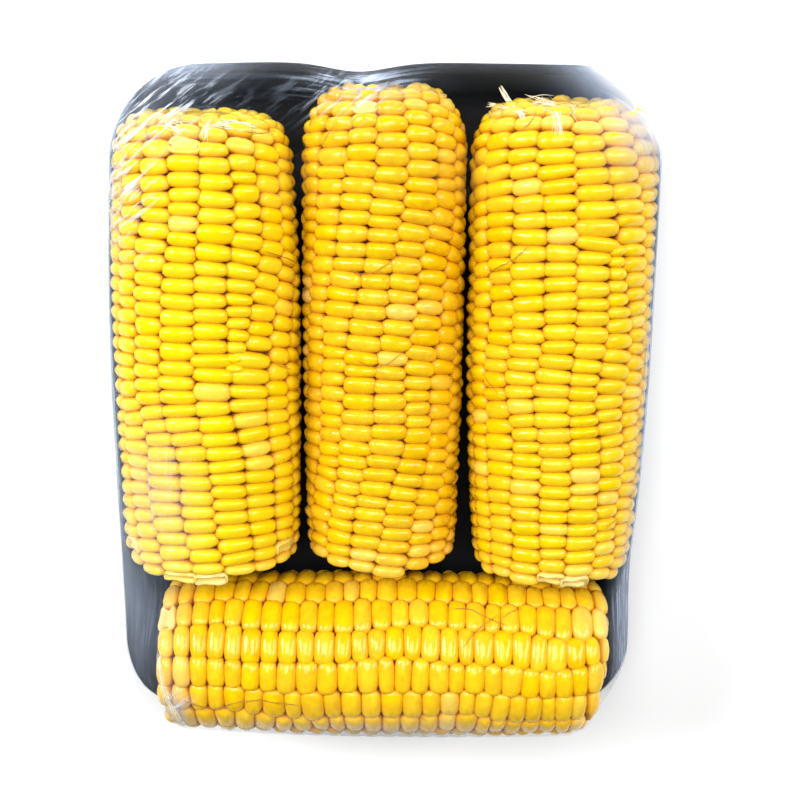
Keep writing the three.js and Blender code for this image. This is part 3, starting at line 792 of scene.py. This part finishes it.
# Stretch film
# Clear cling film pulled tight over the ears, down the tray's walls and turned in under its base.
# It touches the crowns, spans the gaps between the ears and creases where it gathers at the corners.
FILM_ACROSS = 116
FILM_ALONG = 146
FILM_GAP = 0.4  # over the mean height of the crowns
FILM_OFF_TRAY = 0.2
FILM_TUCK = 36.0
FILM_FREE = 1.5  # over the crowns where it hangs free of them
FILM_ROUNDS = 900
RIM_CROWDING = 0.45  # how much closer its points are towards the rim
STREAK_LENGTH = 30.0
STREAK_WIDTH = 0.9
RIM_STREAKS = 4.5  # how far in from the rim the streaks reach
CREASE = 4.2
PLEAT = 5.5
HAZE_PATCH = 10.0
FOLD_SIZE = (16.0, 1.4, 9.0)
FOLD_TURN = math.radians(38)
FILM_MARKS = (  # where it is dull or creased, in part painted glare and shade: place, reach across and along, haze, streaks
    (-66, 95, 17, 9, 0.06, 0.3),
    (-77, 70, 6, 17, 0.1, 0.3),
    (-6, 101, 14, 4, 0.05, 0.8),
    # the far right corner: haze as painted white glare
    (80, 97, 13, 14, 0.95, 0.4),
    (68, 108, 12, 9, 0.9, 0.2),
    (-60, 108, 16, 6, 0.8, 0.3),
    (-77, -56, 12, 24, 0.2, 0.12),
    (-64, -16, 10, 18, 0.14, 0.15),
    (79, -62, 5, 28, 0.35, 0.6),
    # the lying ear's near flank: haze as a painted grey shade
    (2, -100, 46, 9, 0.28, 0.08),
    (-61, -88, 3, 8, 0.3, 0.1),
)
FILM_GLINTS = (  # where it is crumpled, painted white glare, and at the lying ear's left end a pale patch for husk shreds: place, reach across and along, strength
    (-70, 72, 8, 14, 1.0),
    (-64, 94, 17, 8, 0.9),
    (-10, 97, 12, 5, 0.6),
    (-60, -87, 4, 9, 0.9),
)


def film_plan():
    """Places of the film's points over the tray, in rings of the rim's outline, and how far each is round
    the rim and in from it."""
    rim = tray_outline(0.3 * RIM_ROUND, RIM_Z, FILM_ACROSS, FILM_ALONG)
    sides = [np.linspace(-1, 1, steps + 1) for steps in (FILM_ACROSS, FILM_ALONG)]
    u, v = np.meshgrid(*sides, indexing="ij")
    ring = np.maximum(np.abs(u), np.abs(v))
    safe = np.maximum(ring, 1e-9)
    across = np.rint((u / safe + 1) / 2 * FILM_ACROSS * 64) / 64
    along = np.rint((v / safe + 1) / 2 * FILM_ALONG * 64) / 64
    near, right, far = FILM_ACROSS, FILM_ACROSS + FILM_ALONG, 2 * FILM_ACROSS + FILM_ALONG
    spot = np.where(v <= -ring, across, np.where(u >= ring, near + along, np.where(
        v >= ring, right + FILM_ACROSS - across, far + FILM_ALONG - along)))
    closed = np.concatenate([rim, rim[:1]])
    stops = np.arange(len(closed))
    out = ring * (1 + RIM_CROWDING * (1 - ring))
    rim_x, rim_y = [np.interp(spot, stops, closed[:, side]) for side in (0, 1)]
    steps = np.concatenate([[0], np.cumsum(np.hypot(*np.diff(closed[:, :2], axis=0).T))])
    inward = (1 - out) * np.hypot(rim_x, rim_y)
    return out * rim_x, out * rim_y, np.interp(spot, stops, steps), inward, steps[:-1]


def drawn_tight(support, rounds):
    """Heights of a film drawn tight: each point settles to its neighbours' mean unless it is held up."""
    height = support.copy()
    for _ in range(rounds):
        mean = (height[:-2, 1:-1] + height[2:, 1:-1] + height[1:-1, :-2] + height[1:-1, 2:]) / 4
        height[1:-1, 1:-1] = np.maximum(support[1:-1, 1:-1], mean)
    return height


def rim_haze_and_painted_glare(x, y):
    """Dullness of the film where it turns over the rim beside the ears, in part painted glare: a pale edge
    where grazing light would catch it.
    """
    beside = np.clip((np.abs(x) - 70) / 8, 0, 1)
    return 0.85 * beside * np.clip((y + 45) / 30, 0, 1) * np.clip((104 - y) / 12, 0, 1)


film_x, film_y, film_u, film_v, rim_u = film_plan()
support = ear_tops(film_x, film_y, FILM_GAP) + FILM_OFF_TRAY
support[0], support[-1], support[:, 0], support[:, -1] = [RIM_Z + FILM_OFF_TRAY] * 4
film_z = drawn_tight(support, FILM_ROUNDS)
slack = np.clip((film_z - support) / FILM_FREE, 0, 1)
# streaks along the rim: creases in the film, which the material also draws as painted white glare
streak = rim_haze_and_painted_glare(film_x, film_y) * np.exp(-((film_v / RIM_STREAKS) ** 2))
haze = 0.6 * streak
for x, y, reach_x, reach_y, dull_and_painted_light, lined in FILM_MARKS:
    near_by = np.exp(-(((film_x - x) / reach_x) ** 2) - ((film_y - y) / reach_y) ** 2)
    haze += dull_and_painted_light * near_by
    streak += lined * near_by
rim_shine = np.exp(-((film_v / 6) ** 2)) * np.clip((film_y + 75) / 20, 0, 1)
glint = np.zeros_like(haze)
for x, y, reach_x, reach_y, white in FILM_GLINTS:
    glint += white * np.exp(-(((film_x - x) / reach_x) ** 2) - ((film_y - y) / reach_y) ** 2)
crease = np.sin(2 * math.pi * film_v / CREASE + 2 * np.sin(film_u / 19) + 0.8 * np.sin(film_u / 7.3))
film_z += 0.4 * np.minimum(1, streak) * slack * crease
crowns = [crown for ear in ears for crown in ear["crowns"]]
tree_of_crowns = kdtree.KDTree(len(crowns))
for index, crown in enumerate(crowns):
    tree_of_crowns.insert(crown, index)
tree_of_crowns.balance()
top = np.column_stack([film_x.ravel(), film_y.ravel(), film_z.ravel()])
for index in np.flatnonzero(slack.ravel() < 0.03):
    _, _, distance = tree_of_crowns.find(top[index])
    top[index, 2] -= 0.5 * min(1, (distance / 3.2) ** 2)

faces = []
grid = np.arange((FILM_ACROSS + 1) * (FILM_ALONG + 1)).reshape(FILM_ACROSS + 1, FILM_ALONG + 1)
for i in range(FILM_ACROSS):
    for j in range(FILM_ALONG):
        faces.append((grid[i, j], grid[i + 1, j], grid[i + 1, j + 1], grid[i, j + 1]))
edge = np.concatenate([grid[:-1, 0], grid[-1, :-1], grid[:0:-1, -1], grid[0, :0:-1]])
count = len(edge)
profile = wall_profile()
foot = profile[-1, 0]
turned_in = [(foot + reach, UNDERSIDE_Z) for reach in (FILM_TUCK / 6, FILM_TUCK / 2, FILM_TUCK)]
profile = np.concatenate([profile, turned_in])
skirt, skirt_haze_and_painted_light, skirt_streak, skirt_v = [], [], [], []
for inset, z in profile:
    ring = tray_outline(inset - FILM_OFF_TRAY, z, FILM_ACROSS, FILM_ALONG)
    outward = tray_outline(inset - FILM_OFF_TRAY - 1, z, FILM_ACROSS, FILM_ALONG) - ring
    past_x, past_y = np.abs(ring[:, 0]) - 50, np.abs(ring[:, 1]) - 72
    at_corner = np.clip(past_x / 10, 0, 1) * np.clip(past_y / 10, 0, 1)
    down = min(1, max(0, (RIM_LOW - z) / (RIM_LOW - UNDERSIDE_Z)))
    pleats = 0.5 + 0.5 * np.sin(2 * math.pi * rim_u / PLEAT + np.sin(rim_u / 9))
    fold = at_corner * math.sin(math.pi * down) * pleats
    ring += 0.45 * fold[:, None] * outward
    ring[:, 2] = z - (FILM_OFF_TRAY if z < HEEL_TOP else 0)
    skirt.append(ring)
    rim_streak = rim_haze_and_painted_glare(ring[:, 0], ring[:, 1]) * math.exp(-((20 * down / 5) ** 2))
    skirt_haze_and_painted_light.append(0.6 * rim_streak + 0.03 + 0.12 * fold)
    skirt_streak.append(rim_streak + 0.4 * at_corner + 0.05)
    skirt_v.append(np.full(count, z - RIM_Z))
start = len(top)
points = np.concatenate([top, *skirt])
faces += [(edge[s], edge[(s + 1) % count], start + (s + 1) % count, start + s) for s in range(count)]
faces += ring_faces(len(skirt), count, start)
faces = [tuple(int(corner) for corner in face) for face in faces]
rings = len(skirt)
film_values = {
    "haze": np.concatenate([haze.ravel(), *skirt_haze_and_painted_light]),
    "streak": np.concatenate([streak.ravel(), *skirt_streak]),
    "glint": np.concatenate([glint.ravel(), np.zeros(rings * count)]),
    "shine": np.concatenate([(streak + glint + rim_shine).ravel(), np.ones(rings * count)]),
    "round_rim": np.concatenate([film_u.ravel(), np.tile(rim_u, rings)]),
    "from_rim": np.concatenate([film_v.ravel(), *skirt_v]),
}

wrap, nodes, place = new_material("clear_stretch_film")
# Clear and glossy, dull where it is overstretched, with fine white lines along the rim that are painted glare
# on its creases, and white where it is crumpled or lies thick at the far corners, mostly painted glare; its
# haze also paints shade over the lying ear
values = {}
for key in film_values:
    values[key] = add_node(nodes, "ShaderNodeAttribute", attribute_name=key).outputs["Fac"]
gloss = add_node(nodes, "ShaderNodeFresnel", {"IOR": 1.45})
loose = add_node(nodes, "ShaderNodeMapRange", {"Value": values["shine"], "To Min": 0.04, "To Max": 0.32})
strength = add_node(nodes, "ShaderNodeMath", {
    0: gloss.outputs["Fac"], 1: loose.outputs["Result"]}, operation="MULTIPLY")
lengths = add_node(nodes, "ShaderNodeMath", {
    0: values["round_rim"], 1: 1 / STREAK_LENGTH}, operation="MULTIPLY")
widths = add_node(nodes, "ShaderNodeMath", {
    0: values["from_rim"], 1: 1 / STREAK_WIDTH}, operation="MULTIPLY")
drawn = add_node(nodes, "ShaderNodeCombineXYZ", {
    "X": lengths.outputs["Value"], "Y": widths.outputs["Value"]})
crease_pattern = add_node(nodes, "ShaderNodeTexNoise", {
    "Vector": drawn.outputs["Vector"], "Scale": 1.0, "Detail": 3.0})
lined = add_node(nodes, "ShaderNodeMapRange", {
    "Value": crease_pattern.outputs["Fac"], "From Min": 0.5, "From Max": 0.62})
patchy = add_node(nodes, "ShaderNodeTexNoise", {
    "Vector": place, "Scale": 1 / (HAZE_PATCH * MM), "Detail": 2.0})
patch = add_node(nodes, "ShaderNodeMapRange", {
    "Value": patchy.outputs["Fac"], "From Min": 0.34, "From Max": 0.52})
# painted glare: white lines along the creases by the rim
lines = add_node(nodes, "ShaderNodeMath", {
    0: lined.outputs["Result"], 1: values["streak"]}, operation="MULTIPLY")
broken = add_node(nodes, "ShaderNodeMath", {
    0: lines.outputs["Value"], 1: patch.outputs["Result"]}, operation="MULTIPLY")
crumple = add_node(nodes, "ShaderNodeMapping", {
    "Vector": place, "Rotation": (0, 0, FOLD_TURN), "Scale": [side * MM for side in FOLD_SIZE]},
    vector_type="TEXTURE")
folds = add_node(nodes, "ShaderNodeTexNoise", {
    "Vector": crumple.outputs["Vector"], "Scale": 1.0, "Detail": 3.0, "Roughness": 0.6})
facet = add_node(nodes, "ShaderNodeMapRange", {
    "Value": folds.outputs["Fac"], "From Min": 0.5, "From Max": 0.66})
# painted glare: white crumpled patches where the glints lie, and the pale husk patch
white = add_node(nodes, "ShaderNodeMath", {
    0: facet.outputs["Result"], 1: values["glint"]}, operation="MULTIPLY")
marks = add_node(nodes, "ShaderNodeMath", {
    0: broken.outputs["Value"], 1: white.outputs["Value"]}, operation="ADD")
dull_and_painted_light = add_node(nodes, "ShaderNodeMath", {
    0: marks.outputs["Value"], 1: values["haze"]}, operation="ADD", use_clamp=True)
ridges = add_node(nodes, "ShaderNodeBump", {
    "Strength": 0.5, "Distance": 0.2 * MM, "Height": lines.outputs["Value"]})
clear = add_node(nodes, "ShaderNodeBsdfTransparent")
shine = add_node(nodes, "ShaderNodeBsdfGlossy", {
    "Roughness": 0.06, "Color": linear("#e4effa"), "Normal": ridges.outputs["Normal"]})
# where the haze is thick it turns white: partly thick film, partly painted glare
thick = add_node(nodes, "ShaderNodeMapRange", {
    "Value": values["haze"], "From Min": 0.35, "From Max": 0.8})
whiteness = add_node(nodes, "ShaderNodeMath", {
    0: white.outputs["Value"], 1: thick.outputs["Result"]}, operation="ADD", use_clamp=True)
pale = add_node(nodes, "ShaderNodeMix", {
    "Factor": whiteness.outputs["Value"], "A": linear("#c8d8f0"), "B": linear("#ffffff")}, data_type="RGBA")
# a diffuse layer for the film's haze, which also carries the painted glare and the painted shade
milk_and_painted_light = add_node(nodes, "ShaderNodeBsdfDiffuse", {"Color": pale.outputs[MIXED_COLOUR]})
sheet = add_node(nodes, "ShaderNodeMixShader", {
    0: strength.outputs["Value"], 1: clear.outputs["BSDF"], 2: shine.outputs["BSDF"]})
clouded = add_node(nodes, "ShaderNodeMixShader", {
    0: dull_and_painted_light.outputs["Value"], 1: sheet.outputs["Shader"], 2: milk_and_painted_light.outputs["BSDF"]})
add_node(nodes, "ShaderNodeOutputMaterial", {"Surface": clouded.outputs["Shader"]})

film = new_piece("stretch_film", points, faces, wrap, film_values)
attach(film, "root")
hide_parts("film")

# Floor, light and camera
# A plain white table under soft studio light from the left, the right and overhead, seen from above.
TABLE_PATCH = 40.0
TABLE_HALF = 2000
card, nodes, place = new_material("white_table")
# Smooth and matt, all but evenly white
speck = add_node(nodes, "ShaderNodeTexNoise", {
    "Vector": place, "Scale": 1 / (TABLE_PATCH * MM), "Detail": 2.0})
tint = add_node(nodes, "ShaderNodeMix", {
    "Factor": speck.outputs["Fac"], "A": linear("#f4f4f4"), "B": linear("#fafafa")}, data_type="RGBA")
shader = add_node(nodes, "ShaderNodeBsdfPrincipled", {
    "Base Color": tint.outputs[MIXED_COLOUR], "Roughness": 0.7})
add_node(nodes, "ShaderNodeOutputMaterial", {"Surface": shader.outputs["BSDF"]})
corners = [(x * TABLE_HALF, y * TABLE_HALF, 0) for x, y in ((-1, -1), (1, -1), (1, 1), (-1, 1))]
floor = new_piece("floor", corners, [(0, 1, 2, 3)], card)


def soft_light(name, place, aim, size, power):
    """A rectangular soft light at a place, aimed at a point."""
    data = bpy.data.lights.new(name, "AREA")
    data.shape = "RECTANGLE"
    data.size, data.size_y = size
    data.energy = power
    lamp = bpy.data.objects.new(name, data)
    lamp.location = place
    lamp.rotation_euler = (Vector(aim) - Vector(place)).to_track_quat("-Z", "Y").to_euler()
    bpy.context.scene.collection.objects.link(lamp)


soft_light("left_softbox", (-0.8, 0.4, 0.62), (0, 0, 0.03), (0.38, 0.45), 9.4)
soft_light("right_softbox", (0.85, 0.35, 0.7), (0, 0, 0.03), (0.4, 0.9), 8.4)
soft_light("overhead_softbox", (-0.1, 0.6, 1.25), (0, 0, 0), (0.8, 0.8), 15.8)
world = bpy.data.worlds.new("studio")
world.use_nodes = True
sky = world.node_tree.nodes["Background"]
sky.inputs["Color"].default_value = (1, 1, 1, 1)
sky.inputs["Strength"].default_value = 0.07
bpy.context.scene.world = world
bpy.context.scene.view_settings.view_transform = "Standard"

CAMERA_TILT = math.radians(17)
CAMERA_ROLL = math.radians(0.65)
CAMERA_DISTANCE = 366.0
FOCAL_PIXELS = 1190
PICTURE_PIXELS = 800
LOOK_AT = Vector((6.5, 5.2, 30.0))
lens = bpy.data.cameras.new("camera")
lens.sensor_width = 36.0
lens.lens = FOCAL_PIXELS / PICTURE_PIXELS * lens.sensor_width
camera = bpy.data.objects.new("camera", lens)
back = Vector((0, math.sin(CAMERA_TILT), math.cos(CAMERA_TILT)))
camera.location = (LOOK_AT + CAMERA_DISTANCE * back) * MM
aim = Matrix.Rotation(-CAMERA_TILT, 3, "X") @ Matrix.Rotation(CAMERA_ROLL, 3, "Z")
camera.rotation_euler = aim.to_euler()
bpy.context.scene.collection.objects.link(camera)
bpy.context.scene.camera = camera
